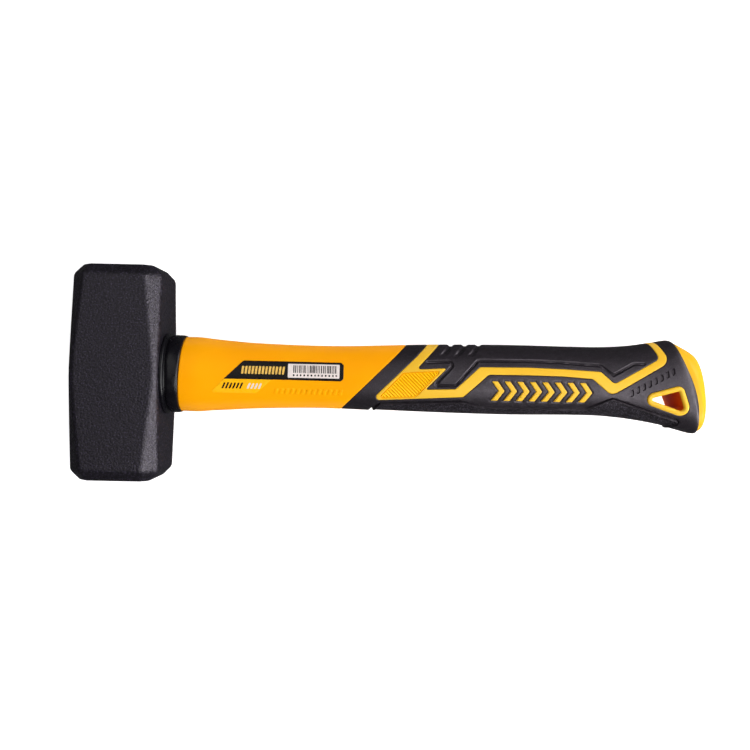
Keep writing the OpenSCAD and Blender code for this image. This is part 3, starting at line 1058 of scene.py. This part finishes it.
def product_label():
    """A printed label with no lettering: plain dashes, bars and a ruled panel."""
    edges = bar_edges()
    patch = Patch(40, 105, {
        "side": lambda p: p[:, 2] - 1,
        "own": in_label,
        "yellow": rectangle(*LABEL_LOWER),
        "paper": rectangle(*LABEL_PANEL),
        "gold": dashes((56.6, 2.4), (74.8, 2.4), 13, 0.48, 1.75, 0.12),
        "dark": dashes((48.2, -4.7), (56, -4.7), 6, 0.42, 1.35, 0.45),
        "pale": dashes((59.4, -4.7), (64.4, -4.7), 4, 0.42, 1.25, 0.45),
        "tiny": dashes((79.4, 0.45), (98.6, 0.45), 13, 0.42, 0.42),
        "x": lambda p: p[:, 0],
        "rows": lambda p: np.minimum(p[:, 1] - BARS_Y[0], BARS_Y[1] - p[:, 1]),
    }, finer=1.4)
    patch.keep("side")
    patch.keep("own")
    for name in ("yellow", "paper", "gold", "dark", "pale", "tiny"):
        patch.cut(name)
    patch.cuts("own", 0.15, 0.35)

    def on_paper(patch):
        return patch.values["paper"] > -1e-6

    def on_bars(patch):
        return on_paper(patch) & (patch.values["rows"] > -1e-6)
    patch.cut("rows", active=on_paper)
    for x in edges:
        patch.cut("x", x, active=on_bars)

    ink, gold, pale, yellow = range(4)
    slots = np.full(len(patch.tris), ink)
    slots[patch.above("gold")] = gold
    slots[patch.above("yellow")] = yellow
    slots[patch.above("dark")] = ink
    slots[patch.above("pale")] = pale
    middle = patch.values["x"][patch.tris].mean(axis=1)
    on_bar = (np.searchsorted(edges, middle) % 2 == 1) & (middle < edges[-1]) & patch.above("rows")
    slots[patch.above("paper")] = pale
    slots[patch.above("paper") & (on_bar | patch.above("tiny"))] = ink
    lift = 0.14 + worn_edge(patch.values["own"], 0.3, 0.1)
    skin("product_label", patch, lift, 0.3, [INK, GOLD, PAPER, LABEL_YELLOW], slots,
         node="product_label", slot="label_print")


# ---- the stage ----

FLOOR_RADIUS = 4.0             # in metres, like everything on the stage
AIM = (0.116, 0, 0.02)         # the middle of the hammer, which the lights face


def camera():
    """Looks straight down on the cheek, from above the middle of the hammer."""
    data = bpy.data.cameras.new("camera")
    data.sensor_width = 36
    data.lens = 42.2
    thing = placed("camera", data)
    thing.location = (0.1159, 0.0013, MID_Z / 1000 + 0.407)
    thing.rotation_euler = (0, 0, math.radians(1.2))
    bpy.context.scene.camera = thing


def softbox(name, place, width, height, power, shines=True):
    """An area light. One that doesn't shine lights a surface but isn't mirrored in it."""
    data = bpy.data.lights.new(name, "AREA")
    data.shape = "RECTANGLE"
    data.size = width
    data.size_y = height
    data.energy = power
    thing = placed(name, data)
    thing.location = place
    thing.rotation_euler = (Vector(AIM) - Vector(place)).to_track_quat("-Z", "Y").to_euler()
    thing.visible_glossy = shines
    thing.visible_camera = False


def paper(name, points, faces, glow, diffuse):
    """A pale sheet of the studio, which gives off a little light of its own. Only the camera sees
    it when diffuse is False, so it doesn't light the hammer."""
    mesh = bpy.data.meshes.new(name)
    mesh.from_pydata(points.tolist(), [], faces)
    mesh.shade_smooth()
    paint = bpy.data.materials.new(name)
    paint.use_nodes = True
    fill(paint.node_tree.nodes["Principled BSDF"], {
        "Base Color": (0.85, 0.85, 0.86, 1), "Roughness": 0.9, "Specular IOR Level": 0.1,
        "Emission Color": (1, 1, 1, 1), "Emission Strength": glow,
    })
    mesh.materials.append(paint)
    sheet = placed(name, mesh)
    sheet.visible_glossy = False
    sheet.visible_diffuse = diffuse


def studio():
    """A round white floor, and a bowl that rises round it as the backdrop of the side views."""
    circle = np.column_stack([np.cos(TURN), np.sin(TURN), np.zeros(len(TURN))]) * FLOOR_RADIUS
    paper("floor", circle, [tuple(range(len(TURN)))], 0.75, True)
    bowl = [circle * (1 + 0.5 * math.sin(t)) + [0, 0, 2 * FLOOR_RADIUS * (1 - math.cos(t))]
            for t in np.linspace(0, math.pi / 2, 12)]
    points, faces = rings(bowl, closed_ends=False)
    paper("backdrop", points, faces, 0.8, False)


def world():
    sky = bpy.data.worlds.new("world")
    sky.use_nodes = True
    fill(sky.node_tree.nodes["Background"], {"Color": (1, 1, 1, 1), "Strength": 0.07})
    bpy.context.scene.world = sky
    bpy.context.scene.view_settings.view_transform = "Standard"


def lights():
    softbox("key", (0.46, -0.34, 0.9), 0.42, 0.42, 3.3)
    softbox("right", (0.9, 0, 0.7), 0.5, 0.5, 5.2)
    softbox("side", (1.05, -0.38, 0.3), 0.35, 0.35, 6.2)
    softbox("rim", (1.0, 0.36, 0.3), 0.4, 0.4, 3.4)
    softbox("window", (-0.22, 0.36, 1.0), 0.7, 1.0, 1.65)
    softbox("back", (0.1, 0.75, 0.6), 1.2, 0.6, 1.5, shines=False)
    softbox("front", (-0.1, -0.75, 0.7), 1.2, 0.6, 0.9, shines=False)


camera()
studio()
world()
lights()
hammer_head()
core_rod()
eye_epoxy()
collar()
handle_jacket()
grip_body()
grip_back_pad()
accent_loop()
end_cap()
hang_hole_liner()
side_marks("side_marks_front", 1)
side_marks("side_marks_back", -1)
product_label()
